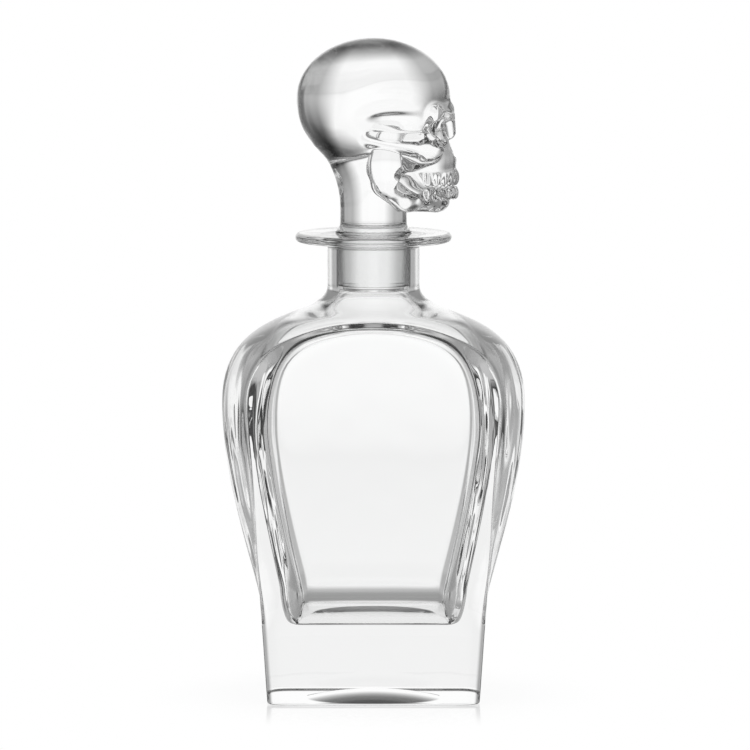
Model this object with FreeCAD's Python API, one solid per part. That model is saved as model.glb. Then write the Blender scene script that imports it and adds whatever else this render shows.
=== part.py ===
"""Glass liquor decanter with a skull stopper, as separate solids.

Millimetres, +Z up. The origin is the middle of the foot, on the surface that the decanter stands on.
The two flat panels face -Y and +Y, and the skull looks along +X.
"""

import FreeCAD
import Part
import math
import os

Vector = FreeCAD.Vector

# Outside of the bottle
FOOT_WIDTH = 85.2
FOOT_DEPTH = 68.0
FOOT_EDGE = 1.8
PUNT_RADIUS = 28.0
PUNT_DEPTH = 3.2
BARREL_FOOT_HEIGHT = 32.0
BELLY_RADIUS = 61.0
BELLY_HEIGHT = 119.3
SHOULDER_RISE = 46.7
NECK_LENGTH = 21.0
NECK_WALL = 4.2
LIP_OVERHANG = 13.0
LIP_THICKNESS = 3.6
LIP_FILLET = 3.0

# Inside of the bottle
BORE_RADIUS = 14.3
BORE_FOOT_DROP = 1.0
MOUTH_EASE = 0.5
PANEL_WALL = 8.8
BELLY_WALL = 12.5
FLOOR_THICKNESS = 30.7
CHAMBER_FOOT_RISE = 14.3
CHAMBER_BELLY_DROP = 7.3

# Stopper seal, a clear sleeve with a flange that lies on the lip
SEAL_WALL = 0.6
SEAL_FLANGE_REACH = 1.1
SEAL_FLANGE_THICKNESS = 0.8
SEAL_TIP_RISE = 1.0
SEAL_TIP_EASE = 0.3
SEAL_BORE_GAP = 0.1
SEAL_PLUG_GAP = 0.05

# Stopper below the skull
PLUG_TIP_REACH = 2.8
PLUG_TIP_EDGE = 1.4
PLUG_TAPER_DEG = 2.6
STOPPER_FOOT_INSET = 0.3
STOPPER_FOOT_FLARE = 1.7
STOPPER_FOOT_HEIGHT = 3.2

# Skull
CHIN_GAP = 7.6
SKULL_LENGTH = 65.2
SKULL_WIDTH = 47.0
SKULL_HEIGHT = 69.8
TOOTH_RADIUS = 2.0
TEETH_PER_ROW = 10

# One overrun for everything that cuts or is cut away
OVERRUN = 5.0

# Widths and heights that follow others: the barrel's foot by the foot's width, the panels' straight
# edges by the belly, and the chamber's foot by its own belly and panels
BARREL_FOOT_SHARE = 1.02
PANEL_EDGE_HEIGHT_SHARE = 0.905
PANEL_EDGE_RADIUS_SHARE = 0.99
CHAMBER_FOOT_RADIUS_SHARE = 0.782
CHAMBER_FOOT_DEPTH_SHARE = 0.968
CHAMBER_PANEL_SHARE = 0.72
CHAMBER_FLOOR_SHARE = 0.72
CHAMBER_FLOOR_RADIUS_SHARE = 0.88
CHAMBER_FLOOR_DEPTH_SHARE = 0.58
STOPPER_FOOT_WAIST_SHARE = 0.35

# Handles of the bottle's curves, as shares of the drop and of the step in radius that they span
SHOULDER_HANDLE_SHARES = (0.315, 0.837)
BARREL_HANDLE_SHARES = (0.324, 0.344)
BARREL_FOOT_SLOPE_SHARE = 0.48
CHAMBER_SHOULDER_HANDLE_SHARES = (0.47, 1.0)
CHAMBER_HANDLE_SHARES = (0.27, 0.30)
CHAMBER_FOOT_SLOPE_SHARE = 0.40

# The skull's places, as shares of its length forward of the stem, of its width to the side, and of
# its height above the chin
OCCIPUT_SHARE = 0.472
FOREHEAD_SHARE = 0.474
FOREHEAD_RADIUS_SHARE = 0.46
FACE_PROFILE_SHARES = (
    (0.300, 0.730), (0.482, 0.612), (0.497, 0.556), (0.474, 0.500), (0.503, 0.420), (0.480, 0.338),
    (0.510, 0.235), (0.495, 0.150), (0.468, 0.085), (0.472, 0.035), (0.422, 0.0), (0.205, 0.006),
    (0.090, 0.075), (0.028, 0.180), (0.020, 0.310), (0.040, 0.467), (0.080, 0.640),
)
FACE_PLAN_SHARES = ((-0.10, 0.36), (0.06, 0.395), (0.21, 0.372), (0.37, 0.298), (0.48, 0.170), (0.528, 0.0))
FACE_FRONT_SHARES = (
    (0.0, 0.17), (0.055, 0.25), (0.14, 0.32), (0.24, 0.345), (0.325, 0.345), (0.41, 0.405), (0.48, 0.42),
    (0.58, 0.38), (0.73, 0.32),
)
ORBIT_CENTRE_SHARES = (0.505, 0.196, 0.495)
ORBIT_RADIUS_SHARES = (0.150, 0.143, 0.092)
NOSTRIL_CENTRE_SHARES = (0.520, 0.046, 0.352)
NOSTRIL_RADIUS_SHARES = (0.070, 0.066, 0.052)
NASAL_CENTRE_SHARES = (0.520, 0.0, 0.395)
NASAL_RADIUS_SHARES = (0.060, 0.056, 0.062)
CHEEK_HOLLOW_CENTRE_SHARES = (0.255, 0.440, 0.245)
CHEEK_HOLLOW_RADIUS_SHARES = (0.105, 0.150, 0.100)
CHEEK_SHARES = (0.330, 0.310, 0.395)
CHEEK_RADIUS_SHARE = 0.095
EAR_SHARES = (0.030, 0.395, 0.462)
EAR_RADIUS_SHARE = 0.070
TEETH_ARCH_SHARES = (0.350, 0.255)
TEETH_ARCH_CENTRE_SHARE = 0.145
TEETH_SPAN_DEG = 66.0
UPPER_TEETH_SHARES = (0.175, 0.275)
LOWER_TEETH_SHARES = (0.085, 0.165)
STEM_RING_SHARES = (
    (0.110, 0.000, 1.00, 1.00), (0.200, -0.012, 1.14, 1.03), (0.320, -0.025, 1.45, 1.08),
    (0.420, -0.020, 1.60, 1.05),
)

# Heights and radii that the pieces share
PANEL_HALF_DEPTH = FOOT_DEPTH / 2
BARREL_FOOT_RADIUS = FOOT_WIDTH / 2 * BARREL_FOOT_SHARE
PANEL_EDGE_HEIGHT = BELLY_HEIGHT * PANEL_EDGE_HEIGHT_SHARE
PANEL_EDGE_RADIUS = BELLY_RADIUS * PANEL_EDGE_RADIUS_SHARE
NECK_RADIUS = BORE_RADIUS + NECK_WALL
NECK_FOOT_HEIGHT = BELLY_HEIGHT + SHOULDER_RISE
LIP_RADIUS = NECK_RADIUS + LIP_OVERHANG
LIP_TOP_HEIGHT = NECK_FOOT_HEIGHT + NECK_LENGTH
BORE_FOOT_HEIGHT = NECK_FOOT_HEIGHT - BORE_FOOT_DROP
SEAL_TIP_HEIGHT = BORE_FOOT_HEIGHT + SEAL_TIP_RISE
SEAL_FLANGE_RADIUS = BORE_RADIUS + SEAL_FLANGE_REACH
SEAT_HEIGHT = LIP_TOP_HEIGHT + SEAL_FLANGE_THICKNESS
PLUG_TOP_RADIUS = BORE_RADIUS - SEAL_BORE_GAP - SEAL_WALL - SEAL_PLUG_GAP
PLUG_TIP_HEIGHT = SEAL_TIP_HEIGHT - PLUG_TIP_REACH
STOPPER_FOOT_RADIUS = SEAL_FLANGE_RADIUS - STOPPER_FOOT_INSET
STEM_RADIUS = STOPPER_FOOT_RADIUS - STOPPER_FOOT_FLARE
CHIN_HEIGHT = SEAT_HEIGHT + CHIN_GAP


def bezier(*points):
    """Edge of a Bezier curve in the XZ plane, through its radius and height pairs."""
    curve = Part.BezierCurve()
    curve.setPoles([Vector(r, 0, z) for r, z in points])
    return curve.toShape()


def line(start, end):
    """Straight edge in the XZ plane between two radius and height pairs."""
    return Part.makeLine(Vector(start[0], 0, start[1]), Vector(end[0], 0, end[1]))


def arc(start, middle, end):
    """Round edge in the XZ plane through three radius and height pairs."""
    return Part.Arc(*[Vector(r, 0, z) for r, z in (start, middle, end)]).toShape()


def turned(edges):
    """Solid made by turning a closed outline in the XZ plane round the Z axis."""
    face = Part.Face(Part.Wire(edges))
    return face.revolve(Vector(0, 0, 0), Vector(0, 0, 1), 360)


def between(low, high, share):
    """Value at a share of the way from low to high."""
    return low + (high - low) * share


def shoulder_curve(top, foot, handles):
    """S-shaped curve from a neck down to a belly, upright at both ends."""
    drop = top[1] - foot[1]
    return bezier(top, (top[0], top[1] - drop * handles[0]), (foot[0], foot[1] + drop * handles[1]), foot)


def barrel_curve(top, foot, handles, slope_share):
    """Curve from a belly in to a narrower foot, upright at the belly."""
    drop = top[1] - foot[1]
    handle_radius = between(foot[0], top[0], slope_share)
    return bezier(top, (top[0], top[1] - drop * handles[0]), (handle_radius, foot[1] + drop * handles[1]), foot)


def barrel_solid():
    """Round body with its shoulder, neck and lip, before the panels are cut."""
    lip_foot = LIP_TOP_HEIGHT - LIP_THICKNESS
    neck_top = lip_foot - LIP_FILLET
    neck_foot = (NECK_RADIUS, NECK_FOOT_HEIGHT)
    belly = (BELLY_RADIUS, BELLY_HEIGHT)
    foot = (BARREL_FOOT_RADIUS, BARREL_FOOT_HEIGHT)
    fillet_end = (NECK_RADIUS + LIP_FILLET, lip_foot)
    lip_middle = LIP_TOP_HEIGHT - LIP_THICKNESS / 2
    edge_low = (LIP_RADIUS - LIP_THICKNESS / 2, lip_foot)
    edge_high = (LIP_RADIUS - LIP_THICKNESS / 2, LIP_TOP_HEIGHT)
    edges = [
        line((0, LIP_TOP_HEIGHT), edge_high),
        arc(edge_high, (LIP_RADIUS, lip_middle), edge_low),
        line(edge_low, fillet_end),
        bezier(fillet_end, (NECK_RADIUS, lip_foot), (NECK_RADIUS, neck_top)),
        line((NECK_RADIUS, neck_top), neck_foot),
        shoulder_curve(neck_foot, belly, SHOULDER_HANDLE_SHARES),
        barrel_curve(belly, foot, BARREL_HANDLE_SHARES, BARREL_FOOT_SLOPE_SHARE),
        line(foot, (0, BARREL_FOOT_HEIGHT)),
        line((0, BARREL_FOOT_HEIGHT), (0, LIP_TOP_HEIGHT)),
    ]
    return turned(edges)


def foot_block():
    """Solid foot: four-sided, wider at the top, with its lower edges eased."""
    half_foot = FOOT_WIDTH / 2
    half_top = math.sqrt(PANEL_EDGE_RADIUS ** 2 - PANEL_HALF_DEPTH ** 2)
    corners = [
        Vector(-half_foot, -PANEL_HALF_DEPTH, 0),
        Vector(half_foot, -PANEL_HALF_DEPTH, 0),
        Vector(half_top, -PANEL_HALF_DEPTH, PANEL_EDGE_HEIGHT),
        Vector(-half_top, -PANEL_HALF_DEPTH, PANEL_EDGE_HEIGHT),
    ]
    face = Part.Face(Part.makePolygon(corners + corners[:1]))
    block = face.extrude(Vector(0, FOOT_DEPTH, 0))
    eased = [edge for edge in block.Edges if edge.BoundBox.ZMax < PANEL_EDGE_HEIGHT / 2]
    return block.makeFillet(FOOT_EDGE, eased)


def panel_slab():
    """Everything between the planes of the two flat panels."""
    length = 2 * (BELLY_RADIUS + OVERRUN)
    return Part.makeBox(
        length, FOOT_DEPTH, LIP_TOP_HEIGHT + OVERRUN, Vector(-length / 2, -PANEL_HALF_DEPTH, 0)
    )


def chamber_round():
    """Round hollow: bore, shoulder, barrel and rounded floor."""
    mouth = LIP_TOP_HEIGHT + OVERRUN
    bore_foot = (BORE_RADIUS, BORE_FOOT_HEIGHT)
    belly = (BELLY_RADIUS - BELLY_WALL, BELLY_HEIGHT - CHAMBER_BELLY_DROP)
    foot = (belly[0] * CHAMBER_FOOT_RADIUS_SHARE, FLOOR_THICKNESS + CHAMBER_FOOT_RISE)
    floor = (foot[0] * CHAMBER_FLOOR_RADIUS_SHARE, FLOOR_THICKNESS)
    eased = (BORE_RADIUS + MOUTH_EASE, LIP_TOP_HEIGHT)
    edges = [
        line((0, mouth), (eased[0], mouth)),
        line((eased[0], mouth), eased),
        line(eased, (BORE_RADIUS, LIP_TOP_HEIGHT - MOUTH_EASE)),
        line((BORE_RADIUS, LIP_TOP_HEIGHT - MOUTH_EASE), bore_foot),
        shoulder_curve(bore_foot, belly, CHAMBER_SHOULDER_HANDLE_SHARES),
        barrel_curve(belly, foot, CHAMBER_HANDLE_SHARES, CHAMBER_FOOT_SLOPE_SHARE),
        bezier(foot, (between(floor[0], foot[0], CHAMBER_FLOOR_SHARE), FLOOR_THICKNESS), floor),
        line(floor, (0, FLOOR_THICKNESS)),
        line((0, FLOOR_THICKNESS), (0, mouth)),
    ]
    return turned(edges)


def chamber_slab():
    """Space between the inner faces of the two panels, which lean in towards the floor."""
    half_depth = PANEL_HALF_DEPTH - PANEL_WALL
    half_foot = half_depth * CHAMBER_FOOT_DEPTH_SHARE
    half_floor = half_foot * CHAMBER_FLOOR_DEPTH_SHARE
    foot_height = FLOOR_THICKNESS + CHAMBER_FOOT_RISE
    panel_height = between(foot_height, BELLY_HEIGHT, CHAMBER_PANEL_SHARE)
    mouth = LIP_TOP_HEIGHT + 2 * OVERRUN
    corner = between(half_floor, half_foot, CHAMBER_FLOOR_SHARE)
    edges = [
        line((-half_floor, FLOOR_THICKNESS), (half_floor, FLOOR_THICKNESS)),
        bezier((half_floor, FLOOR_THICKNESS), (corner, FLOOR_THICKNESS), (half_foot, foot_height)),
        line((half_foot, foot_height), (half_depth, panel_height)),
        line((half_depth, panel_height), (half_depth, mouth)),
        line((half_depth, mouth), (-half_depth, mouth)),
        line((-half_depth, mouth), (-half_depth, panel_height)),
        line((-half_depth, panel_height), (-half_foot, foot_height)),
        bezier((-half_foot, foot_height), (-corner, FLOOR_THICKNESS), (-half_floor, FLOOR_THICKNESS)),
    ]
    length = 2 * (BELLY_RADIUS + OVERRUN)
    slab = Part.Face(Part.Wire(edges)).extrude(Vector(0, length, 0))
    slab.translate(Vector(0, -length / 2, 0))
    slab.rotate(Vector(0, 0, 0), Vector(0, 0, 1), 90)
    return slab


def punt():
    """Shallow dome pushed up into the underside of the foot."""
    dome_radius = (PUNT_RADIUS ** 2 + PUNT_DEPTH ** 2) / (2 * PUNT_DEPTH)
    return Part.makeSphere(dome_radius, Vector(0, 0, PUNT_DEPTH - dome_radius))


def bottle():
    """The whole glass vessel."""
    body = barrel_solid().common(panel_slab()).fuse(foot_block())
    body = body.cut(chamber_round().common(chamber_slab()))
    return body.cut(punt()).removeSplitter()


def plug_radius(height):
    """Radius of the tapered plug at a height below its seat."""
    return PLUG_TOP_RADIUS - (SEAT_HEIGHT - height) * math.tan(math.radians(PLUG_TAPER_DEG))


def stopper_seal():
    """Clear sleeve round the plug, with the flange that the stopper's foot presses on the lip."""
    outer = BORE_RADIUS - SEAL_BORE_GAP
    tip = SEAL_TIP_HEIGHT
    inner_top = plug_radius(SEAT_HEIGHT) + SEAL_PLUG_GAP
    inner_tip = plug_radius(tip) + SEAL_PLUG_GAP
    points = [
        (inner_top, SEAT_HEIGHT),
        (SEAL_FLANGE_RADIUS, SEAT_HEIGHT),
        (SEAL_FLANGE_RADIUS, LIP_TOP_HEIGHT),
        (outer, LIP_TOP_HEIGHT),
        (outer, tip + SEAL_TIP_EASE),
        (outer - SEAL_TIP_EASE, tip),
        (inner_tip, tip),
    ]
    return turned([line(a, b) for a, b in zip(points, points[1:] + points[:1])])


def plug_and_foot():
    """Turned lower half of the stopper: the plug, its shoulder and the flared foot of the stem."""
    tip = PLUG_TIP_HEIGHT
    tip_radius = plug_radius(tip)
    side = (plug_radius(tip + PLUG_TIP_EDGE), tip + PLUG_TIP_EDGE)
    foot_top = SEAT_HEIGHT + STOPPER_FOOT_HEIGHT
    stem_top = CHIN_HEIGHT + SKULL_HEIGHT * STEM_RING_SHARES[0][0]
    waist = SEAT_HEIGHT + STOPPER_FOOT_HEIGHT * STOPPER_FOOT_WAIST_SHARE
    edges = [
        line((0, tip), (tip_radius - PLUG_TIP_EDGE, tip)),
        bezier((tip_radius - PLUG_TIP_EDGE, tip), (tip_radius, tip), side),
        line(side, (PLUG_TOP_RADIUS, SEAT_HEIGHT)),
        line((PLUG_TOP_RADIUS, SEAT_HEIGHT), (STOPPER_FOOT_RADIUS, SEAT_HEIGHT)),
        bezier((STOPPER_FOOT_RADIUS, SEAT_HEIGHT), (STEM_RADIUS, waist), (STEM_RADIUS, foot_top)),
        line((STEM_RADIUS, foot_top), (STEM_RADIUS, stem_top)),
        line((STEM_RADIUS, stem_top), (0, stem_top)),
        line((0, stem_top), (0, tip)),
    ]
    return turned(edges)


def place(shares, side=1):
    """Point in the skull from its shares of length, width and height, mirrored to either side."""
    return Vector(
        SKULL_LENGTH * shares[0], side * SKULL_WIDTH * shares[1], CHIN_HEIGHT + SKULL_HEIGHT * shares[2]
    )


def ellipsoid(centre_shares, radius_shares, side=1):
    """Ellipsoid in the skull, from shares of its length, width and height."""
    stretch = FreeCAD.Matrix()
    stretch.scale(
        SKULL_LENGTH * radius_shares[0], SKULL_WIDTH * radius_shares[1], SKULL_HEIGHT * radius_shares[2]
    )
    stretch.move(place(centre_shares, side))
    return Part.makeSphere(1).transformGeometry(stretch)


def cranium():
    """Brain case: a large ball behind and a smaller one in front, joined by a cone."""
    back_radius = SKULL_WIDTH / 2
    front_radius = SKULL_WIDTH * FOREHEAD_RADIUS_SHARE
    back = back_radius - SKULL_LENGTH * OCCIPUT_SHARE
    front = SKULL_LENGTH * FOREHEAD_SHARE - front_radius
    lean = math.asin((back_radius - front_radius) / (front - back))
    back_rim = (back_radius * math.cos(lean), back + back_radius * math.sin(lean))
    front_rim = (front_radius * math.cos(lean), front + front_radius * math.sin(lean))
    slant = math.sqrt(1 / 2)
    edges = [
        arc((0, back - back_radius), (back_radius * slant, back - back_radius * slant), back_rim),
        line(back_rim, front_rim),
        arc(front_rim, (front_radius * slant, front + front_radius * slant), (0, front + front_radius)),
        line((0, front + front_radius), (0, back - back_radius)),
    ]
    brain_case = turned(edges)
    brain_case.rotate(Vector(0, 0, 0), Vector(0, 1, 0), 90)
    brain_case.rotate(Vector(back, 0, 0), Vector(0, 1, 0), -math.degrees(lean))
    brain_case.translate(Vector(0, 0, CHIN_HEIGHT + SKULL_HEIGHT - back_radius))
    return brain_case


def outline_solid(points, push):
    """Solid made by pushing a closed polygon along a direction."""
    return Part.Face(Part.makePolygon(points + points[:1])).extrude(push)


def face_block():
    """Face and jaw: what the side, top and front outlines have in common."""
    width_push = Vector(0, SKULL_WIDTH, 0)
    profile = outline_solid([place((x, -1 / 2, z)) for x, z in FACE_PROFILE_SHARES], width_push)
    plan = [(x, y, 0) for x, y in FACE_PLAN_SHARES] + [(x, -y, 0) for x, y in FACE_PLAN_SHARES[-2::-1]]
    plan = outline_solid([place(p) for p in plan], Vector(0, 0, SKULL_HEIGHT))
    front = [(0, y, z) for z, y in FACE_FRONT_SHARES] + [(0, -y, z) for z, y in FACE_FRONT_SHARES[::-1]]
    front = outline_solid([place(p) for p in front], Vector(SKULL_LENGTH, 0, 0))
    front.translate(Vector(-SKULL_LENGTH / 2, 0, 0))
    return profile.common(plan).common(front)


def cheekbone(side):
    """Cheek and the bar that thins from it back to the ear."""
    cheek, ear = place(CHEEK_SHARES, side), place(EAR_SHARES, side)
    cheek_radius, ear_radius = SKULL_WIDTH * CHEEK_RADIUS_SHARE, SKULL_WIDTH * EAR_RADIUS_SHARE
    bar = Part.makeCone(cheek_radius, ear_radius, (ear - cheek).Length, cheek, ear - cheek)
    return bar.fuse([Part.makeSphere(cheek_radius, cheek), Part.makeSphere(ear_radius, ear)])


def teeth():
    """Two rows of upright round teeth on an arch, as a list of solids."""
    row = []
    for low, high in (UPPER_TEETH_SHARES, LOWER_TEETH_SHARES):
        for index in range(TEETH_PER_ROW):
            angle = math.radians(TEETH_SPAN_DEG * (2 * index / (TEETH_PER_ROW - 1) - 1))
            forward = TEETH_ARCH_CENTRE_SHARE + TEETH_ARCH_SHARES[0] * math.cos(angle)
            foot = place((forward, TEETH_ARCH_SHARES[1] * math.sin(angle), low))
            row.append(Part.makeCylinder(TOOTH_RADIUS, SKULL_HEIGHT * (high - low), foot))
    return row


def stem_flare():
    """Neck of the skull, widening from the round stem into the back of the head."""
    rings = []
    for height_share, forward_share, length_share, width_share in STEM_RING_SHARES:
        centre = place((forward_share, 0, height_share))
        if length_share > width_share:
            curve = Part.Ellipse(centre, STEM_RADIUS * length_share, STEM_RADIUS * width_share)
        else:
            curve = Part.Circle(centre, Vector(0, 0, 1), STEM_RADIUS * length_share)
        rings.append(Part.Wire(curve.toShape()))
    return Part.makeLoft(rings, True)


def skull_stopper():
    """Stopper: skull, stem, foot and plug in one piece of glass."""
    sides = (-1, 1)
    face = face_block().fuse(teeth())
    head = cranium().fuse([face, stem_flare(), plug_and_foot()] + [cheekbone(side) for side in sides])
    hollows = [ellipsoid(NASAL_CENTRE_SHARES, NASAL_RADIUS_SHARES)]
    for side in sides:
        hollows.append(ellipsoid(ORBIT_CENTRE_SHARES, ORBIT_RADIUS_SHARES, side))
        hollows.append(ellipsoid(NOSTRIL_CENTRE_SHARES, NOSTRIL_RADIUS_SHARES, side))
        hollows.append(ellipsoid(CHEEK_HOLLOW_CENTRE_SHARES, CHEEK_HOLLOW_RADIUS_SHARES, side))
    return head.cut(hollows).removeSplitter()


PIECES = {"bottle": bottle, "stopper_seal": stopper_seal, "skull_stopper": skull_stopper}


def main():
    os.makedirs("parts", exist_ok=True)
    for name, make in PIECES.items():
        shape = make()
        print(name, "valid", shape.isValid(), "solids", len(shape.Solids), "cm3", round(shape.Volume / 1000, 1))
        shape.exportStep(os.path.join("parts", name + ".step"))


main()
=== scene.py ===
"""Looks of the glass liquor decanter: bottle, clear seal and skull stopper, in a white studio.

Metres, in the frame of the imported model: +Z up, flat panels facing -Y and +Y, skull looking along +X.
The object's sizes are named in millimetres and become metres where they are used.
"""

import math

import bpy
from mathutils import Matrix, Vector


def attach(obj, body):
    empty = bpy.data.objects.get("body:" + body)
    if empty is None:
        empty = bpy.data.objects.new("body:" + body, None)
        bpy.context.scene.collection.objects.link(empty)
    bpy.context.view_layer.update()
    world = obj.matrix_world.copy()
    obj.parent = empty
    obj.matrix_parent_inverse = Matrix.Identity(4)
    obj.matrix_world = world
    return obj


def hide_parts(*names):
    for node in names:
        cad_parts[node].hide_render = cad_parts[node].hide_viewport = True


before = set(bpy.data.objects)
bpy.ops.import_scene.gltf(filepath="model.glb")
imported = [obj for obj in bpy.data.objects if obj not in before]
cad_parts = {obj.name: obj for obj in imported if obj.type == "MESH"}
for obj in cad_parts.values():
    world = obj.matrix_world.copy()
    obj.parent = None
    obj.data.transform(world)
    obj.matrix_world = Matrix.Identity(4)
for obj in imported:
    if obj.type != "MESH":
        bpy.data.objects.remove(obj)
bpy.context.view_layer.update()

MM = 0.001
LEAST = 1e-5

# Outside of the bottle, in millimetres: single sizes, and radius with height
FOOT_HALF_WIDTH = 42.6
PANEL_HALF_DEPTH = 34.0
PANEL_EDGE_HEIGHT = 108.0
PANEL_EDGE_HALF_WIDTH = 49.9
FOOT_EDGE = 1.1
PUNT_RADIUS = 28.0
PUNT_DEPTH = 3.2
BARREL_FOOT = (43.45, 32.0)
BELLY = (61.0, 119.3)
NECK_FOOT = (18.5, 166.0)
LIP_RADIUS = 31.5
LIP_TOP = 187.0
LIP_THICKNESS = 3.6
LIP_FILLET = 3.0
# Inside of the bottle
BORE_RADIUS = 14.3
BORE_FOOT = 165.0
MOUTH_EASE = 0.5
CHAMBER_BELLY = (48.5, 112.0)
CHAMBER_FOOT = (37.9, 45.0)
CHAMBER_FLOOR = (33.4, 30.7)
CHAMBER_HALF_DEPTH = 25.2
CHAMBER_FOOT_HALF_DEPTH = 24.4
CHAMBER_FLOOR_HALF_DEPTH = 14.0
CHAMBER_PANEL_HEIGHT = 98.5
# Handles of the bottle's outline, as shares of the run that each one bends
CIRCLE_ARM = 0.552
PUNT_ARM = 0.5
FOOT_EDGE_ARM = 0.45
BARREL_FOOT_ARM = (0.4784, 0.344)
BELLY_ARM_DOWN = 0.324
BELLY_ARM_UP = 0.837
NECK_ARM = 0.315
BORE_ARM = 0.47
CHAMBER_ARM_UP = 1.0
CHAMBER_ARM_DOWN = 0.27
CHAMBER_FOOT_ARM = (0.4, 0.3)
CHAMBER_FLOOR_ARM = 0.72
# Points of the bottle's outline: the first that is squared, and the first inside, at the mouth
SQUARED_FROM = 2
HOLLOW_FROM = 13
# How softly the bottle turns its corners, and over which heights that changes
FOOT_CORNER_SOFT = 13.0
CREASE_SOFT = 2.4
FOOT_CORNER_RANGE = (30.0, 62.0)
SIDE_SOFT = 3.0
CHAMBER_SOFT = 5.0
CHAMBER_TOP_SOFT = 12.0
CHAMBER_TOP_RANGE = (134.0, 152.0)
# How the foot's sides fall away above the panels' straight edges, and how the mesh follows the crease
SIDE_LEAN = (PANEL_EDGE_HALF_WIDTH - FOOT_HALF_WIDTH) / PANEL_EDGE_HEIGHT
SIDE_FADE = 2.5
STEEPEST_PANEL = math.radians(76)
CREASE_CROWDING = 1.6

# Clear sleeve round the plug, in millimetres
SEAL_TIP = 166.0
SEAL_RADIUS = 14.17
SEAL_FLANGE_RADIUS = 15.35
SEAL_INSIDE_TOP = 13.62
SEAL_INSIDE_TIP = 12.63
SEAL_FLANGE_FOOT = 187.03
SEAL_FLANGE_TOP = 187.77
SEAL_ROUND = 0.35

# Stopper, in millimetres: plug, flared foot, stem and cranium
SEAT = 187.82
PLUG_TIP = 163.25
PLUG_RADIUS = 13.5
PLUG_TAPER = 0.0454
PLUG_ROUND = 1.2
FLARE_RADIUS = 15.05
FLARE_TOP = 191.0
STEM_RADIUS = 13.4
STEM_TOP = 222.0
STEM_SOFT = 3.0
NAPE_FOOT = 197.0
NAPE_SWELL = 8.6
NAPE_SIDE_SHARE = 0.12
CRANIUM = ((0, 0, 241.3), (30.8, 23.2, 23.9))
BROW_NARROWING = 0.001
END_ROUNDING = 0.0002
# Teeth of one side, along an arc round the jaws, with the height and radii of each row
TEETH_MIDDLE = 18.5
TEETH_REACH = (14.4, 11.0)
TEETH_PER_SIDE = 6
TEETH_SPREAD = math.radians(14)
UPPER_TOOTH = (209.4, (1.65, 1.65, 3.2))
LOWER_TOOTH = (203.2, (1.45, 1.45, 2.6))
TOOTH_SOFT = 0.6
# Distance field of the stopper: its box, its level at the surface, and how the mesh is drawn onto it
SKULL_LOW = (-34.0, -26.0, 161.0)
SKULL_HIGH = (37.0, 26.0, 267.5)
EGG_CORE = 0.05
FIELD_SLOPE = 0.2
SURFACE_LEVEL = 0.5
DRAWN_TIMES = 2

# Fineness of the meshes: steps along an outline's run, steps round the axis, and voxels in millimetres
STEPS_PER_RUN = 28
BOTTLE_AROUND = 176
SEAL_AROUND = 96
VOXEL = 0.5

# Glass: tint, slow waves, haze, and the rippled skin of the bulges within these edges, in metres
GLASS_TINT = (0.988, 0.99, 0.989, 1)
GLASS_IOR = 1.5
WAVE_SCALE = 45.0
WAVE_DETAIL = 1.0
WAVE_DEPTH = 0.00008
HAZE_SCALE = 90.0
HAZE_DETAIL = 3.0
HAZE_ROUGHNESS = 0.012
BLOWN_SIDE = (0.041, 0.047)
BLOWN_FACE = (0.024, 0.031)
BLOWN_HEIGHT = (0.145, 0.11)
BLOWN_WAVES = 20.0
RIPPLE_SCALE = 120.0
RIPPLE_DETAIL = 0.0
RIPPLE_STRETCH = (1.0, 1.0, 0.3)
# Glossy bounces after which light caught in the glass goes straight on
TRAPPED_BOUNCES = 3.5
# Silicone
SILICONE_TINT = (0.99, 0.992, 0.992, 1)
SILICONE_IOR = 1.41
SKIN_SCALE = 160.0
SKIN_DETAIL = 3.0
SKIN_ROUGHNESS = 0.02
SKIN_UNEVENNESS = 0.05

# Camera, in metres: its distance and angle, the point that it looks at and the width that it frames
CAMERA_DISTANCE = 3.0
CAMERA_ELEVATION = math.radians(6.0)
CAMERA_TARGET = (0.0006, 0, 0.1294)
FRAMED_WIDTH = 0.302025
SENSOR_WIDTH = 36
CLIP_END = 50

# Brightness that glass finds round the axis, from straight on (0) to sideways (1)
FIELD_ROUND = (
    (0.0, 1.0), (0.22, 1.0), (0.34, 0.7), (0.46, 0.45), (0.6, 0.43),
    (0.74, 0.46), (0.79, 0.18), (0.86, 0.04), (0.97, 0.02), (1.0, 0.8),
)
# What is left of it from straight down (-1) to straight up (1)
FIELD_UP = (
    (-1.0, 0.02), (-0.92, 0.06), (-0.79, 0.18), (-0.67, 0.45), (-0.5, 1.0), (-0.4, 1.0), (-0.24, 0.92),
    (-0.145, 0.92), (-0.126, 0.875), (-0.105, 0.97), (-0.08, 1.0), (0.26, 1.0), (0.43, 0.45), (0.55, 0.18),
    (0.68, 0.06), (0.83, 0.02),
)
# Dimming of upward directions, most of all sideways
UPWARD = (-0.08, 0.36)
UPWARD_SIDE = (0.22, 0.5)
UPWARD_DIM = 0.7
# Least light from the camera's side, and from the table below
BEHIND_EDGE = 0.35
BEHIND_LIGHT = 0.7
TABLE_EDGE = (0.12, 0.28)
TABLE_SIDE = (0.86, 0.94)
TABLE_LIGHT = 0.52
# Patch of light overhead, tilted towards the camera: its direction's shares to the camera and up
ABOVE_TILT = (0.46, 0.888)
ABOVE_EDGE = 0.85
ABOVE_MIDDLE = 0.97
ABOVE_LIGHT = 0.4
# Brightness of the world for everything but camera and glass
AMBIENT = 0.6

# Floor, in metres, and where its sheen under the decanter ends
FLOOR_RADIUS = 0.2
FLOOR_SIDES = 96
FLOOR_DROP = 0.0002
SHEEN_NEAR = 0.05
SHEEN_FAR = 0.1
FLOOR_SHEEN = 0.8
MIRROR_SHARE = 0.85
MIRROR_ROUGHNESS = 0.12
FLOOR_IOR = 1.5
FLOOR_GREY = (0.9, 0.9, 0.9, 1)
WHITE = (1, 1, 1, 1)
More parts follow.
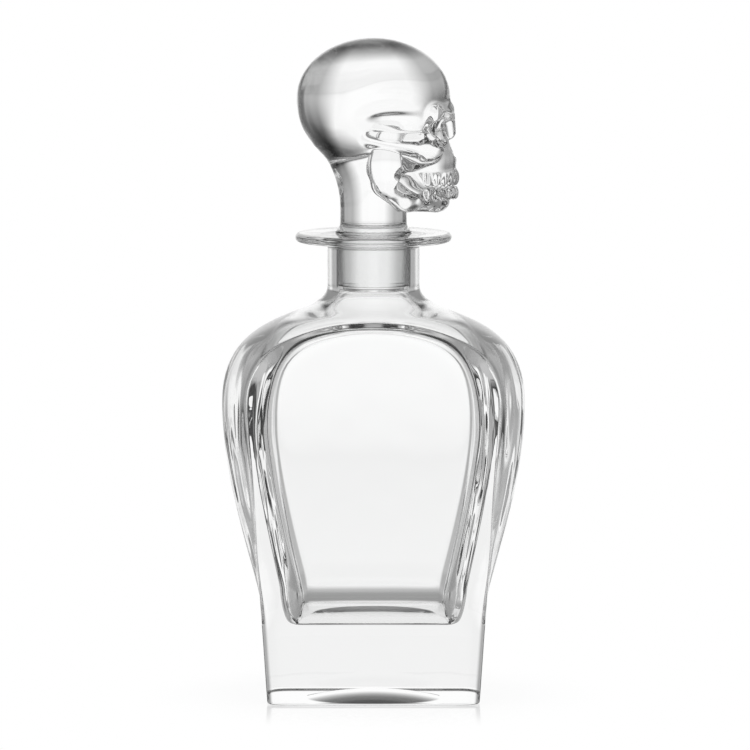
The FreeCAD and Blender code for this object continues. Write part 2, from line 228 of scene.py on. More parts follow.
# Floor as glass finds it: a painted glow, bright underneath and dim around as painted shade of the
# decanter, and open air far out and at grazing angles
UNDER_NEAR = 0.04
UNDER_FAR = 0.06
UNDER_PAINTED_LIGHT = 0.85
AROUND_PAINTED_SHADE = 0.3
OPEN_NEAR = 0.13
OPEN_FAR = 0.195
GRAZING = (0.6, 0.88)

# Lamp overhead
LAMP_POWER = 6
LAMP_SIZE = 0.8
LAMP_PLACE = (0, -0.1, 1.2)


class Wire:
    """An output socket of a node tree. Arithmetic on it adds Math nodes to that tree."""

    def __init__(self, tree, socket=None):
        self.tree = tree
        self.socket = socket

    def node(self, kind, settings=None, values=None, out=0):
        """New node with its settings, then the values or links of its sockets; gives one of its outputs."""
        made = self.tree.nodes.new(kind)
        for name, value in (settings or {}).items():
            if name == "stops":
                fill_ramp(made.color_ramp, value)
            else:
                setattr(made, name, value)
        for key, value in (values or {}).items():
            if isinstance(value, Wire):
                self.tree.links.new(value.socket, made.inputs[key])
            else:
                made.inputs[key].default_value = value
        return Wire(self.tree, made.outputs[out] if len(made.outputs) else None)

    def math(self, operation, *others):
        """This number, and others, through one Math node."""
        return self.node("ShaderNodeMath", {"operation": operation}, dict(enumerate((self, *others))))

    def vector(self, operation, *others, out=0):
        """This vector, and others, through one Vector Math node."""
        terms = dict(enumerate((self, *others)))
        return self.node("ShaderNodeVectorMath", {"operation": operation}, terms, out)

    def parts(self):
        """The three numbers of a vector."""
        split = self.node("ShaderNodeSeparateXYZ", values={0: self}).socket.node
        return [Wire(self.tree, socket) for socket in split.outputs]

    def length(self):
        return self.vector("LENGTH", out=1)

    def times(self, vector):
        """A vector, as many times as this number says."""
        return self.node("ShaderNodeVectorMath", {"operation": "SCALE"}, {0: vector, "Scale": self})

    def eased(self, low, high, start=0, end=1):
        """Smooth step from start to end while this number goes from low to high."""
        return self.node(
            "ShaderNodeMapRange", {"interpolation_type": "SMOOTHSTEP"},
            {"Value": self, "From Min": low, "From Max": high, "To Min": start, "To Max": end},
        )

    def clamped(self):
        return self.node("ShaderNodeClamp", values={"Value": self})

    def at_least(self, other):
        return self.math("MAXIMUM", other)

    def at_most(self, other):
        return self.math("MINIMUM", other)

    def __add__(self, other):
        return self.math("ADD", other)

    def __sub__(self, other):
        return self.math("SUBTRACT", other)

    def __rsub__(self, other):
        return self.node("ShaderNodeMath", {"operation": "SUBTRACT"}, {0: other, 1: self})

    def __mul__(self, other):
        return self.math("MULTIPLY", other)

    def __truediv__(self, other):
        return self.math("DIVIDE", other)

    def __rtruediv__(self, other):
        return self.node("ShaderNodeMath", {"operation": "DIVIDE"}, {0: other, 1: self})

    def __pow__(self, other):
        return self.math("POWER", other)

    def __gt__(self, other):
        return self.math("GREATER_THAN", other)

    def __lt__(self, other):
        return self.math("LESS_THAN", other)

    def __abs__(self):
        return self.math("ABSOLUTE")

    def __neg__(self):
        return self.math("MULTIPLY", -1)

    __radd__ = __add__
    __rmul__ = __mul__


def fill_ramp(ramp, stops):
    """Sets a colour ramp's stops from pairs of place and grey."""
    while len(ramp.elements) < len(stops):
        ramp.elements.new(1)
    for element, (place, grey) in zip(ramp.elements, stops):
        element.position = place
        element.color = (grey, grey, grey, 1)


def emptied(owner):
    """Bare wire in the emptied node tree of a material or a world."""
    owner.use_nodes = True
    owner.node_tree.nodes.clear()
    return Wire(owner.node_tree)


def shape_tree(name, inputs):
    """Empty Geometry Nodes tree with named inputs; gives a bare wire and the inputs by name."""
    tree = bpy.data.node_groups.new(name, "GeometryNodeTree")
    tree.interface.new_socket("Geometry", in_out="INPUT", socket_type="NodeSocketGeometry")
    for label, kind in inputs.items():
        tree.interface.new_socket(label, in_out="INPUT", socket_type=kind)
    tree.interface.new_socket("Geometry", in_out="OUTPUT", socket_type="NodeSocketGeometry")
    source = tree.nodes.new("NodeGroupInput")
    return Wire(tree), {socket.name: Wire(tree, socket) for socket in source.outputs if socket.name}


def end_tree(mesh, material):
    """Closes a tree with smooth shading, real geometry and its material."""
    mesh = mesh.node("GeometryNodeSetShadeSmooth", values={"Geometry": mesh})
    mesh = mesh.node("GeometryNodeRealizeInstances", values={"Geometry": mesh})
    mesh = mesh.node("GeometryNodeSetMaterial", values={"Geometry": mesh, "Material": material})
    mesh.node("NodeGroupOutput", values={0: mesh})


def grown(name, seed_data, tree, settings):
    """Runs a tree on a seed and keeps the result as a plain mesh piece at the origin."""
    seed = bpy.data.objects.new(name + "_seed", seed_data)
    bpy.context.scene.collection.objects.link(seed)
    modifier = seed.modifiers.new("form", "NODES")
    modifier.node_group = tree
    for item in tree.interface.items_tree:
        if item.in_out == "INPUT" and item.name in settings:
            modifier[item.identifier] = settings[item.name]
    evaluated = seed.evaluated_get(bpy.context.evaluated_depsgraph_get())
    mesh = bpy.data.meshes.new_from_object(evaluated)
    bpy.data.objects.remove(seed)
    piece = bpy.data.objects.new(name, mesh)
    bpy.context.scene.collection.objects.link(piece)
    return piece


def own(obj, body, slot, *nodes):
    """A finished piece: it rides on its body and stands for its CAD nodes, which it hides."""
    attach(obj, body)
    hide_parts(*nodes)


def place(pair):
    """Point in metres, in the XZ plane, of a radius and height in millimetres."""
    return Vector((pair[0] * MM, 0, pair[1] * MM))


def profile_curve(name, start, runs, squared_from=math.inf, hollow_from=math.inf):
    """Bezier outline of radius and height pairs in the XZ plane, in millimetres.

    A run is its end, with one or two handles before it where it bends. A point's own radius is 0 where the
    form is round, 1 where it is squared and 2 where it is squared and inside.
    """
    curve = bpy.data.curves.new(name, "CURVE")
    curve.dimensions = "3D"
    spline = curve.splines.new("BEZIER")
    spline.resolution_u = STEPS_PER_RUN
    spline.bezier_points.add(len(runs))
    points = spline.bezier_points
    last = Vector(start)
    points[0].co = place(last)
    for index, run in enumerate(runs):
        *handles, end = [Vector(pair) for pair in run]
        if not handles:
            handles = [last.lerp(end, 1 / 3), last.lerp(end, 2 / 3)]
        elif len(handles) == 1:
            handles = [last.lerp(handles[0], 2 / 3), end.lerp(handles[0], 2 / 3)]
        points[index].handle_right = place(handles[0])
        points[index + 1].handle_left = place(handles[1])
        points[index + 1].co = place(end)
        last = end
    for index, point in enumerate(points):
        point.handle_left_type = point.handle_right_type = "FREE"
        point.radius = (index >= squared_from) + (index >= hollow_from)
    points[0].handle_left = points[0].co
    points[-1].handle_right = points[-1].co
    return curve


# Lengths that the tree of turned glass takes for the bottle, in millimetres
BOTTLE_LENGTHS = {
    "Foot Half Width": FOOT_HALF_WIDTH,
    "Panel Half Depth": PANEL_HALF_DEPTH,
    "Panel Edge Height": PANEL_EDGE_HEIGHT,
    "Foot Edge": FOOT_EDGE,
    "Foot Corner Soft": FOOT_CORNER_SOFT,
    "Crease Soft": CREASE_SOFT,
    "Corner Foot": FOOT_CORNER_RANGE[0],
    "Corner Head": FOOT_CORNER_RANGE[1],
    "Side Soft": SIDE_SOFT,
    "Chamber Half Depth": CHAMBER_HALF_DEPTH,
    "Chamber Foot Half Depth": CHAMBER_FOOT_HALF_DEPTH,
    "Chamber Floor Half Depth": CHAMBER_FLOOR_HALF_DEPTH,
    "Chamber Floor Height": CHAMBER_FLOOR[1],
    "Chamber Foot Height": CHAMBER_FOOT[1],
    "Chamber Panel Height": CHAMBER_PANEL_HEIGHT,
    "Chamber Soft": CHAMBER_SOFT,
    "Chamber Top Soft": CHAMBER_TOP_SOFT,
    "Chamber Top Foot": CHAMBER_TOP_RANGE[0],
    "Chamber Top Head": CHAMBER_TOP_RANGE[1],
}
TURNED_INPUTS = {
    "Around": "NodeSocketInt",
    "Side Lean": "NodeSocketFloat",
    **dict.fromkeys(BOTTLE_LENGTHS, "NodeSocketFloat"),
    "Material": "NodeSocketMaterial",
}
# Sheet that is bent round the axis, the mark between outside and inside, and shares of a turn
SHEET = 1.0
HOLLOW_MARK = 1.5
HALF_TURN = 0.5
QUARTER_TURN = 0.25


def turned_glass_tree():
    """Tree that turns an outline, squares it between flat panels where it says so, and closes it."""
    bare, size = shape_tree("turned_glass", TURNED_INPUTS)
    rings = bare.node("GeometryNodeCurveToPoints", {"mode": "EVALUATED"}, {"Curve": size["Geometry"]})
    count = bare.node("GeometryNodeAttributeDomainSize", {"component": "POINTCLOUD"}, {"Geometry": rings})
    sheet = bare.node(
        "GeometryNodeMeshGrid",
        values={"Size X": SHEET, "Size Y": SHEET, "Vertices X": count, "Vertices Y": size["Around"] + 1},
    )
    spot = bare.node("GeometryNodeInputPosition")
    along, turn, _ = spot.parts()
    along, turn = along + SHEET / 2, turn + SHEET / 2
    ring = (along * (count - 1)).math("ROUND")

    def of_ring(kind, field):
        values = {"Geometry": rings, "Value": field, "Index": ring}
        return bare.node("GeometryNodeSampleIndex", {"data_type": kind}, values)

    radius, _, height = of_ring("FLOAT_VECTOR", spot).parts()
    marked = of_ring("FLOAT", bare.node("GeometryNodeInputRadius"))
    squared = marked.at_most(1)
    hollow = marked > HOLLOW_MARK

    # The foot's flat sides: they lean out, end at the panels' straight edges and are eased at the floor
    rounding = (size["Foot Edge"] - height).at_least(0)
    easing = size["Foot Edge"] - (size["Foot Edge"] * size["Foot Edge"] - rounding * rounding) ** 0.5
    over = (height - size["Panel Edge Height"]).at_least(0)
    side = size["Foot Half Width"] + height * size["Side Lean"] - over * SIDE_FADE - easing
    side = side.at_least(0)
    front = size["Panel Half Depth"] - easing

    # The chamber's front and back, which lean in below and turn into the floor
    low, high = size["Chamber Foot Height"], size["Chamber Panel Height"]
    rise = bare.node(
        "ShaderNodeMapRange", {"clamp": True},
        {"Value": height, "From Min": low, "From Max": high,
         "To Min": size["Chamber Foot Half Depth"], "To Max": size["Chamber Half Depth"]},
    )
    sunk = ((low - height) / (low - size["Chamber Floor Height"])).clamped()
    tuck = size["Chamber Foot Half Depth"] - size["Chamber Floor Half Depth"]
    rise = rise - tuck * (1 - (1 - sunk * sunk) ** 0.5)
    depth = hollow * (rise - front) + front

    # Angle of each point: crowded towards the crease, so that the crease runs along the mesh
    reach = radius * radius - depth * depth
    flat = reach.at_least(LEAST * LEAST) ** 0.5
    flat = flat.at_least(side * (1 - hollow))
    crease = depth.math("ARCTAN2", flat).at_most(STEEPEST_PANEL)
    fold = (turn / QUARTER_TURN).math("PINGPONG", 1)
    near = (1 - fold * 2).at_least(0) ** CREASE_CROWDING
    far = (fold * 2 - 1).at_least(0) ** CREASE_CROWDING
    angle = crease * (1 - near) + (math.pi / 2 - crease) * far
    across = angle.math("COSINE").at_least(LEAST)
    facing = angle.math("SINE").at_least(LEAST)

    # Distance from the axis: the round barrel or the foot's side, whichever is further, cut by the panels
    panel = depth / facing
    soft = height.eased(
        size["Corner Foot"], size["Corner Head"], size["Foot Corner Soft"], size["Crease Soft"]
    )
    inner_soft = height.eased(
        size["Chamber Top Foot"], size["Chamber Top Head"], size["Chamber Soft"], size["Chamber Top Soft"]
    )
    outside = radius.math("SMOOTH_MAX", side / across, size["Side Soft"])
    outside = outside.math("SMOOTH_MIN", panel, soft)
    inside = radius.math("SMOOTH_MIN", panel, inner_soft)
    formed = outside + hollow * (inside - outside)
    distance = radius + squared * (formed - radius)
    cut = distance.at_most(panel)
    distance = distance + (marked > 0) * (cut - distance)
    right = 1 - 2 * (abs(turn - HALF_TURN) < QUARTER_TURN)
    back = 1 - 2 * (turn > HALF_TURN)
    point = bare.node(
        "ShaderNodeCombineXYZ",
        values={0: distance * across * right, 1: distance * facing * back, 2: height},
    )
    shaped = bare.node("GeometryNodeSetPosition", values={"Geometry": sheet, "Position": point})
    closed = bare.node("GeometryNodeMergeByDistance", values={"Geometry": shaped, "Distance": LEAST})
    outward = bare.node("GeometryNodeFlipFaces", values={"Mesh": closed})
    end_tree(outward, size["Material"])
    return bare.tree


def bottle_outline():
    """The bottle's outline, from the middle of the punt, up the outside and back down the inside."""
    lip_foot = LIP_TOP - LIP_THICKNESS
    lip_bend = LIP_RADIUS - LIP_THICKNESS / 2
    lip_middle = LIP_TOP - LIP_THICKNESS / 2
    bow = LIP_THICKNESS / 2 * CIRCLE_ARM
    rise = NECK_FOOT[1] - BELLY[1]
    drop = BELLY[1] - BARREL_FOOT[1]
    bulge = BELLY[0] - BARREL_FOOT[0]
    inner_rise = BORE_FOOT - CHAMBER_BELLY[1]
    inner_drop = CHAMBER_BELLY[1] - CHAMBER_FOOT[1]
    inner_bulge = CHAMBER_BELLY[0] - CHAMBER_FOOT[0]
    floor_turn = CHAMBER_FLOOR[0] + CHAMBER_FLOOR_ARM * (CHAMBER_FOOT[0] - CHAMBER_FLOOR[0])
    foot_inset = FOOT_HALF_WIDTH - FOOT_EDGE
    runs = [
        ((PUNT_RADIUS * PUNT_ARM, PUNT_DEPTH), (PUNT_RADIUS, 0)),
        ((foot_inset, 0),),
        ((foot_inset, 0), (foot_inset, FOOT_EDGE * FOOT_EDGE_ARM), (foot_inset, FOOT_EDGE)),
        (BARREL_FOOT,),
        (
            (BARREL_FOOT[0] + bulge * BARREL_FOOT_ARM[0], BARREL_FOOT[1] + drop * BARREL_FOOT_ARM[1]),
            (BELLY[0], BELLY[1] - drop * BELLY_ARM_DOWN),
            BELLY,
        ),
        (
            (BELLY[0], BELLY[1] + rise * BELLY_ARM_UP),
            (NECK_FOOT[0], NECK_FOOT[1] - rise * NECK_ARM),
            NECK_FOOT,
        ),
        ((NECK_FOOT[0], lip_foot - LIP_FILLET),),
        ((NECK_FOOT[0], lip_foot), (NECK_FOOT[0] + LIP_FILLET, lip_foot)),
        ((lip_bend, lip_foot),),
        ((lip_bend + bow, lip_foot), (LIP_RADIUS, lip_middle - bow), (LIP_RADIUS, lip_middle)),
        ((LIP_RADIUS, lip_middle + bow), (lip_bend + bow, LIP_TOP), (lip_bend, LIP_TOP)),
        ((BORE_RADIUS + MOUTH_EASE, LIP_TOP),),
        ((BORE_RADIUS, LIP_TOP), (BORE_RADIUS, LIP_TOP - MOUTH_EASE)),
        ((BORE_RADIUS, BORE_FOOT),),
        (
            (BORE_RADIUS, BORE_FOOT - inner_rise * BORE_ARM),
            (CHAMBER_BELLY[0], CHAMBER_BELLY[1] + inner_rise * CHAMBER_ARM_UP),
            CHAMBER_BELLY,
        ),
        (
            (CHAMBER_BELLY[0], CHAMBER_BELLY[1] - inner_drop * CHAMBER_ARM_DOWN),
            (
                CHAMBER_FOOT[0] + inner_bulge * CHAMBER_FOOT_ARM[0],
                CHAMBER_FOOT[1] + inner_drop * CHAMBER_FOOT_ARM[1],
            ),
            CHAMBER_FOOT,
        ),
        ((floor_turn, CHAMBER_FLOOR[1]), CHAMBER_FLOOR),
        ((0, CHAMBER_FLOOR[1]),),
    ]
    return profile_curve("bottle_outline", (0, PUNT_DEPTH), runs, SQUARED_FROM, HOLLOW_FROM)


def bottle(tree, glass):
    """The vessel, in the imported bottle's place."""
    sizes = {name: length * MM for name, length in BOTTLE_LENGTHS.items()}
    sizes.update({"Around": BOTTLE_AROUND, "Side Lean": SIDE_LEAN, "Material": glass})
    vessel = grown("decanter_bottle", bottle_outline(), tree, sizes)
    own(vessel, "bottle", "bottle_glass", "bottle")


def seal(tree, silicone):
    """The clear sleeve with its flange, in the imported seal's place."""
    middle = (SEAL_FLANGE_FOOT + SEAL_FLANGE_TOP) / 2
    bend = SEAL_FLANGE_RADIUS - SEAL_ROUND
    runs = [
        ((SEAL_RADIUS - SEAL_ROUND, SEAL_TIP),),
        ((SEAL_RADIUS, SEAL_TIP), (SEAL_RADIUS, SEAL_TIP + SEAL_ROUND)),
        ((SEAL_RADIUS, SEAL_FLANGE_FOOT - SEAL_ROUND),),
        ((SEAL_RADIUS, SEAL_FLANGE_FOOT), (SEAL_RADIUS + SEAL_ROUND, SEAL_FLANGE_FOOT)),
        ((bend, SEAL_FLANGE_FOOT),),
        ((SEAL_FLANGE_RADIUS, SEAL_FLANGE_FOOT), (SEAL_FLANGE_RADIUS, middle)),
        ((SEAL_FLANGE_RADIUS, SEAL_FLANGE_TOP), (bend, SEAL_FLANGE_TOP)),
        ((SEAL_INSIDE_TOP, SEAL_FLANGE_TOP),),
        ((SEAL_INSIDE_TIP, SEAL_TIP),),
    ]
    outline = profile_curve("seal_outline", (SEAL_INSIDE_TIP, SEAL_TIP), runs)
    sleeve = grown("plug_sleeve", outline, tree, {"Around": SEAL_AROUND, "Material": silicone})
    own(sleeve, "seal", "clear_seal", "stopper_seal")


def egg(spot, centre, radii):
    """Distance field of an ellipsoid, exact at its surface."""
    unit = spot.vector("SUBTRACT", centre).vector("DIVIDE", radii)
    near = unit.length().at_least(EGG_CORE)
    slope = unit.vector("DIVIDE", radii).length()
    return near * (near - 1) / (slope + LEAST)


def rod(spot, start, end, start_radius, end_radius):
    """Distance field of a round rod between two points, with round ends and a taper."""
    span = Vector(end) - Vector(start)
    local = spot.vector("SUBTRACT", start)
    share = (local.vector("DOT_PRODUCT", tuple(span), out=1) / span.length_squared).clamped()
    gap = local.vector("SUBTRACT", share.times(tuple(span))).length()
    return gap - (share * (end_radius - start_radius) + start_radius)


# The skull's forms in millimetres, on its +Y half: what is added, with how softly it joins
SKULL_FORMS = (
    (egg, ((-9.0, 0, 233.4), (19.6, 19.4, 15.6)), 6),  # back of the head
    (egg, ((-6.0, 0, 226.6), (17.6, 18.2, 10.8)), 4),  # base of the head
    (egg, ((14.0, 0, 222.0), (15.5, 15.0, 13.0)), 5),  # middle of the face
    (rod, ((29.0, 3.0, 236.4), (24.0, 13.8, 235.6), 3.4, 3.4), 3.5),  # brow
    (rod, ((24.0, 14.4, 236.0), (22.8, 15.4, 223.0), 3.2, 3.4), 3),  # outer rim of the orbit
    (egg, ((21.8, 14.4, 222.0), (6.6, 5.4, 5.4)), 3.5),  # cheekbone
    (rod, ((20.5, 15.4, 222.6), (-1.0, 16.6, 227.0), 4.6, 4.2), 2.5),  # arch from cheekbone to temple
    (egg, ((22.0, 0, 216.0), (11.3, 12.3, 10.5)), 3),  # upper jaw
    (rod, ((30.0, 0, 234.2), (31.2, 0, 226.0), 2.7, 1.9), 2),  # bridge of the nose
    (egg, ((21.8, 0, 210.6), (12.0, 11.6, 6.2)), 2),  # upper gum
    (egg, ((12.0, 0, 206.0), (14.0, 12.6, 9.0)), 3),  # inside of the lower jaw
    (rod, ((24.5, 4.5, 199.9), (13.0, 11.0, 200.6), 4.3, 4.2), 2.5),  # lower edge of the jaw
    (rod, ((13.0, 11.0, 200.6), (4.6, 14.8, 207.0), 4.2, 4.0), 2.5),  # corner of the jaw
    (egg, ((25.6, 0, 199.6), (5.0, 8.0, 4.2)), 2.5),  # chin
    (egg, ((4.9, 16.0, 214.6), (6.5, 3.3, 10.4)), 2),  # branch of the jaw
)
# What is hollowed out of them
SKULL_HOLLOWS = (
    (egg, ((31.2, 12.4, 228.8), (8.4, 8.6, 7.6)), 0.9),  # orbit
    (egg, ((34.2, 2.0, 219.6), (4.5, 2.6, 3.6)), 0.8),  # nostril
    (egg, ((33.6, 0, 222.8), (3.4, 2.0, 3.8)), 0.8),  # top of the nose's opening
    (egg, ((9.0, 26.6, 233.4), (17.0, 9.0, 8.0)), 6),  # temple
    (egg, ((16.6, 19.0, 212.6), (5.4, 6.4, 7.2)), 1.2),  # hollow below the cheekbone
    (egg, ((30.0, 0, 206.2), (8.0, 14.0, 0.9)), 0.5),  # gap between the rows of teeth
)


def skull_teeth():
    """Rows of teeth along the jaws, from the middle to the back of one side."""
    for height, radii in (UPPER_TOOTH, LOWER_TOOTH):
        for index in range(TEETH_PER_SIDE):
            turn = (index + 0.5) * TEETH_SPREAD
            ahead = TEETH_MIDDLE + TEETH_REACH[0] * math.cos(turn)
            yield egg, ((ahead, TEETH_REACH[1] * math.sin(turn), height), radii), TOOTH_SOFT


def skull_tree():
    """Tree that grows the stopper from a distance field and draws its surface onto that field."""
    bare, size = shape_tree("skull_stopper", {"Voxel": "NodeSocketFloat", "Material": "NodeSocketMaterial"})
    x, y, z = bare.node("GeometryNodeInputPosition").vector("DIVIDE", (MM, MM, MM)).parts()
    spot = bare.node("ShaderNodeCombineXYZ", values={0: x, 1: abs(y), 2: z})
    narrowing = 1 + x * BROW_NARROWING - x * x * END_ROUNDING
    narrowed = bare.node("ShaderNodeCombineXYZ", values={0: x, 1: y * narrowing, 2: z})
    field = egg(narrowed, *CRANIUM)

    # The stem widens into the skull, most of all at the nape
    across = (x * x + y * y) ** 0.5
    swell = ((z - NAPE_FOOT) / (STEM_TOP - NAPE_FOOT)).clamped()
    nape = (x * x) / (across * across + 1) * (1 - NAPE_SIDE_SHARE) + NAPE_SIDE_SHARE
    stem = across - (STEM_RADIUS + swell * swell * nape * NAPE_SWELL)
    stem = stem.at_least(z - STEM_TOP)
    field = field.math("SMOOTH_MIN", stem, STEM_SOFT)
    for form, sizes, soft in SKULL_FORMS:
        field = field.math("SMOOTH_MIN", form(spot, *sizes), soft)
    for form, sizes, soft in SKULL_HOLLOWS:
        field = field.math("SMOOTH_MAX", -form(spot, *sizes), soft)
    for form, sizes, soft in skull_teeth():
        field = field.math("SMOOTH_MIN", form(spot, *sizes), soft)

    # The flared foot ends on the seat; the tapered plug goes on below it
    flare = ((FLARE_TOP - z) / (FLARE_TOP - SEAT)).clamped()
    foot = across - (STEM_RADIUS + flare * flare * (FLARE_RADIUS - STEM_RADIUS))
    foot = foot.at_least(z - FLARE_TOP)
    field = field.at_most(foot).at_least(SEAT - z)
    plug = across - (PLUG_RADIUS - (SEAT - z) * PLUG_TAPER)
    plug = plug.math("SMOOTH_MAX", PLUG_TIP - z, PLUG_ROUND)
    plug = plug.at_least(z - (SEAT + PLUG_ROUND))
    field = field.at_most(plug)

    # A volume on the field gives the mesh, and the field itself then draws the mesh to its surface
    density = (SURFACE_LEVEL - field * MM / size["Voxel"] * FIELD_SLOPE).clamped()
    box = {
        "Density": density,
        "Min": tuple(low * MM for low in SKULL_LOW),
        "Max": tuple(high * MM for high in SKULL_HIGH),
    }
    for axis, low, high in zip("XYZ", SKULL_LOW, SKULL_HIGH):
        box["Resolution " + axis] = (high - low) * MM / size["Voxel"]
    volume = bare.node("GeometryNodeVolumeCube", values=box)
    mesh = bare.node("GeometryNodeVolumeToMesh", values={"Volume": volume, "Threshold": SURFACE_LEVEL})
    for _ in range(DRAWN_TIMES):
        pull = (field * -MM).times(bare.node("GeometryNodeInputNormal"))
        mesh = bare.node("GeometryNodeSetPosition", values={"Geometry": mesh, "Offset": pull})
    end_tree(mesh, size["Material"])
    return bare.tree


def skull_stopper(glass):
    """The skull with its stem, foot and plug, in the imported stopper's place."""
    seed = bpy.data.meshes.new("skull_seed")
    figure = grown("skull_stopper_glass", seed, skull_tree(), {"Voxel": VOXEL * MM, "Material": glass})
    own(figure, "stopper", "stopper_glass", "skull_stopper")


def noise(spot, scale, detail):
    """Grey noise over the object."""
    return spot.node("ShaderNodeTexNoise", values={"Vector": spot, "Scale": scale, "Detail": detail})


def clear_glass(name):
    """Clear polished glass with a faint tint, slow waves, rippled bulges and a trace of haze."""
    material = bpy.data.materials.new(name)
    bare = emptied(material)
    spot = bare.node("ShaderNodeTexCoord", out="Object")
    x, y, z = spot.parts()
    blown = abs(x).eased(*BLOWN_SIDE) * (1 - abs(y).eased(*BLOWN_FACE)) * z.eased(*BLOWN_HEIGHT)
    ripple = noise(spot.vector("MULTIPLY", RIPPLE_STRETCH), RIPPLE_SCALE, RIPPLE_DETAIL)
    waves = noise(spot, WAVE_SCALE, WAVE_DETAIL) + ripple * blown * BLOWN_WAVES
    bump = bare.node("ShaderNodeBump", values={"Height": waves, "Strength": 1.0, "Distance": WAVE_DEPTH})
    trapped = bare.node("ShaderNodeLightPath", out="Glossy Depth") > TRAPPED_BOUNCES
    shader = bare.node(
        "ShaderNodeBsdfPrincipled",
        values={
            "Base Color": GLASS_TINT,
            "Roughness": noise(spot, HAZE_SCALE, HAZE_DETAIL) * HAZE_ROUGHNESS,
            "IOR": GLASS_IOR,
            "Transmission Weight": 1.0,
            "Alpha": 1 - trapped,
            "Normal": bump,
        },
    )
    bare.node("ShaderNodeOutputMaterial", values={"Surface": shader})
    return material


def clear_seal(name):
    """Clear silicone with a slightly uneven skin."""
    material = bpy.data.materials.new(name)
    bare = emptied(material)
    spot = bare.node("ShaderNodeTexCoord", out="Object")
    shader = bare.node(
        "ShaderNodeBsdfPrincipled",
        values={
            "Base Color": SILICONE_TINT,
            "Roughness": noise(spot, SKIN_SCALE, SKIN_DETAIL) * SKIN_UNEVENNESS + SKIN_ROUGHNESS,
            "IOR": SILICONE_IOR,
            "Transmission Weight": 1.0,
        },
    )
    bare.node("ShaderNodeOutputMaterial", values={"Surface": shader})
    return material


def camera():
    """Long lens a little above the decanter's middle, at the photograph's angle and framing."""
    data = bpy.data.cameras.new("camera")
    eye = bpy.data.objects.new("camera", data)
    bpy.context.scene.collection.objects.link(eye)
    outward = Vector((0, -math.cos(CAMERA_ELEVATION), math.sin(CAMERA_ELEVATION)))
    eye.location = Vector(CAMERA_TARGET) + CAMERA_DISTANCE * outward
    eye.rotation_euler = (math.pi / 2 - CAMERA_ELEVATION, 0, 0)
    data.sensor_width = SENSOR_WIDTH
    data.lens = SENSOR_WIDTH * CAMERA_DISTANCE / FRAMED_WIDTH
    data.clip_end = CLIP_END
    bpy.context.scene.camera = eye


def looks(bare):
    """Whether the camera sees a place straight, and whether glass or gloss does."""
    seen = bare.node("ShaderNodeLightPath", out="Is Camera Ray")
    through = bare.node("ShaderNodeLightPath", out="Is Transmission Ray")
    gloss = bare.node("ShaderNodeLightPath", out="Is Glossy Ray")
    return seen, through.at_least(gloss)


def backdrop():
    """World that is white to the camera; through glass, a bright field with dark sides, top and bottom."""
    world = bpy.data.worlds.new("studio")
    bpy.context.scene.world = world
    bare = emptied(world)
    x, y, z = bare.node("ShaderNodeTexCoord", out="Generated").parts()
    sideways = abs(x) / (x * x + y * y + LEAST) ** 0.5
    shown = bare.node("ShaderNodeValToRGB", {"stops": FIELD_ROUND}, {0: sideways})
    upward = z.eased(*UPWARD)
    shown = shown * (1 - upward * sideways.eased(*UPWARD_SIDE, 0, UPWARD_DIM))
    behind = (-y).eased(0, BEHIND_EDGE, 0, BEHIND_LIGHT) * (1 - upward * UPWARD_DIM)
    table = (-z).eased(*TABLE_EDGE, 0, TABLE_LIGHT) * (1 - sideways.eased(*TABLE_SIDE))
    shown = shown.at_least(behind.at_least(table))
    heights = [((up + 1) / 2, light) for up, light in FIELD_UP]
    shown = shown * bare.node("ShaderNodeValToRGB", {"stops": heights}, {0: (z + 1) / 2})
    overhead = z * ABOVE_TILT[1] - y * ABOVE_TILT[0]
    shown = shown.at_least(overhead.eased(ABOVE_EDGE, ABOVE_MIDDLE, 0, ABOVE_LIGHT))
    seen, glassy = looks(bare)
    strength = AMBIENT + glassy * (shown - AMBIENT)
    strength = strength + seen * (1 - strength)
    background = bare.node("ShaderNodeBackground", values={"Color": WHITE, "Strength": strength})
    bare.node("ShaderNodeOutputWorld", values={"Surface": background})


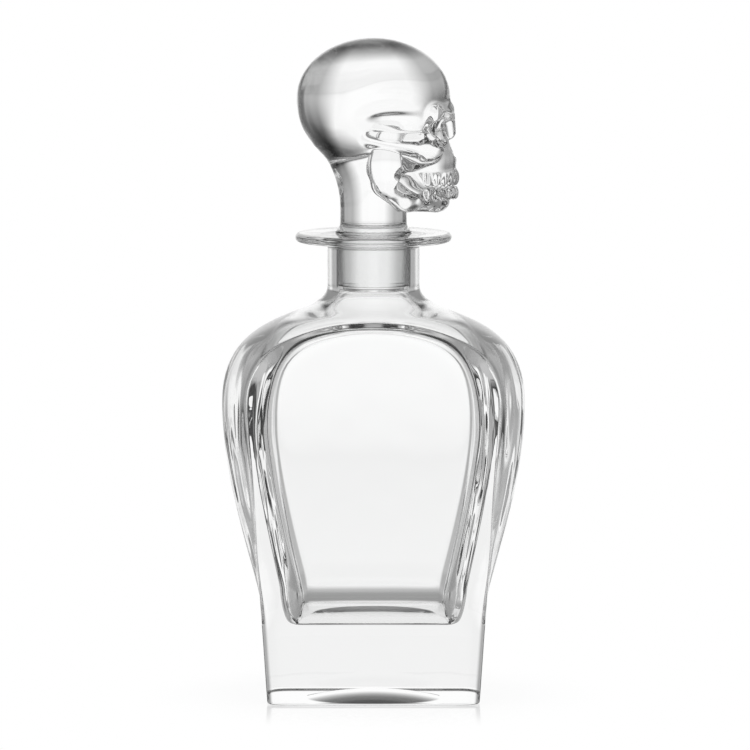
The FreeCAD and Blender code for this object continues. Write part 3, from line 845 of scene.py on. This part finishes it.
def floor_finish():
    """White to the camera with a faint mirror under the decanter; to glass, a painted glow, bright
    underneath, with painted shade around the decanter.
    """
    material = bpy.data.materials.new("white_floor")
    bare = emptied(material)
    away = bare.node("ShaderNodeTexCoord", out="Object").length()

    # What glass finds: a painted glow of the floor, dimmed around the decanter as painted shade
    painted_floor_glow = away.eased(UNDER_NEAR, UNDER_FAR, UNDER_PAINTED_LIGHT, AROUND_PAINTED_SHADE)
    table = bare.node("ShaderNodeEmission", values={"Color": WHITE, "Strength": painted_floor_glow})
    facing = bare.node("ShaderNodeLayerWeight", out="Facing")
    opened = away.eased(OPEN_NEAR, OPEN_FAR).at_least(facing.eased(*GRAZING))
    open_air = bare.node("ShaderNodeBsdfTransparent")
    glimpse = bare.node("ShaderNodeMixShader", values={0: opened, 1: table, 2: open_air})

    # What the camera finds
    white = bare.node("ShaderNodeEmission", values={"Color": WHITE, "Strength": 1.0})
    matt = bare.node("ShaderNodeBsdfDiffuse", values={"Color": FLOOR_GREY})
    mirror = bare.node("ShaderNodeBsdfAnisotropic", values={"Color": WHITE, "Roughness": MIRROR_ROUGHNESS})
    sheen = bare.node("ShaderNodeMixShader", values={0: MIRROR_SHARE, 1: matt, 2: mirror})
    gleam = bare.node("ShaderNodeFresnel", values={"IOR": FLOOR_IOR})
    plain = 1 - gleam * (1 - away.eased(SHEEN_NEAR, SHEEN_FAR)) * FLOOR_SHEEN
    seen, glassy = looks(bare)
    surface = bare.node("ShaderNodeMixShader", values={0: seen * plain, 1: sheen, 2: white})
    surface = bare.node("ShaderNodeMixShader", values={0: glassy, 1: surface, 2: glimpse})
    bare.node("ShaderNodeOutputMaterial", values={"Surface": surface})
    return material


def studio():
    """White world, a round of white floor and one soft lamp that glass doesn't see."""
    backdrop()
    bpy.ops.mesh.primitive_circle_add(vertices=FLOOR_SIDES, radius=FLOOR_RADIUS, fill_type="NGON")
    floor = bpy.context.object
    floor.location.z = -FLOOR_DROP
    floor.name = "floor"
    floor.data.materials.append(floor_finish())

    lamp = bpy.data.lights.new("overhead", "AREA")
    lamp.energy = LAMP_POWER
    lamp.size = LAMP_SIZE
    light = bpy.data.objects.new("overhead", lamp)
    light.location = LAMP_PLACE
    light.visible_glossy = False
    light.visible_transmission = False
    bpy.context.scene.collection.objects.link(light)


camera()
studio()
TURNED = turned_glass_tree()
bottle(TURNED, clear_glass("bottle_glass"))
seal(TURNED, clear_seal("seal_silicone"))
skull_stopper(clear_glass("stopper_glass"))

bpy.context.scene.view_settings.view_transform = "Standard"
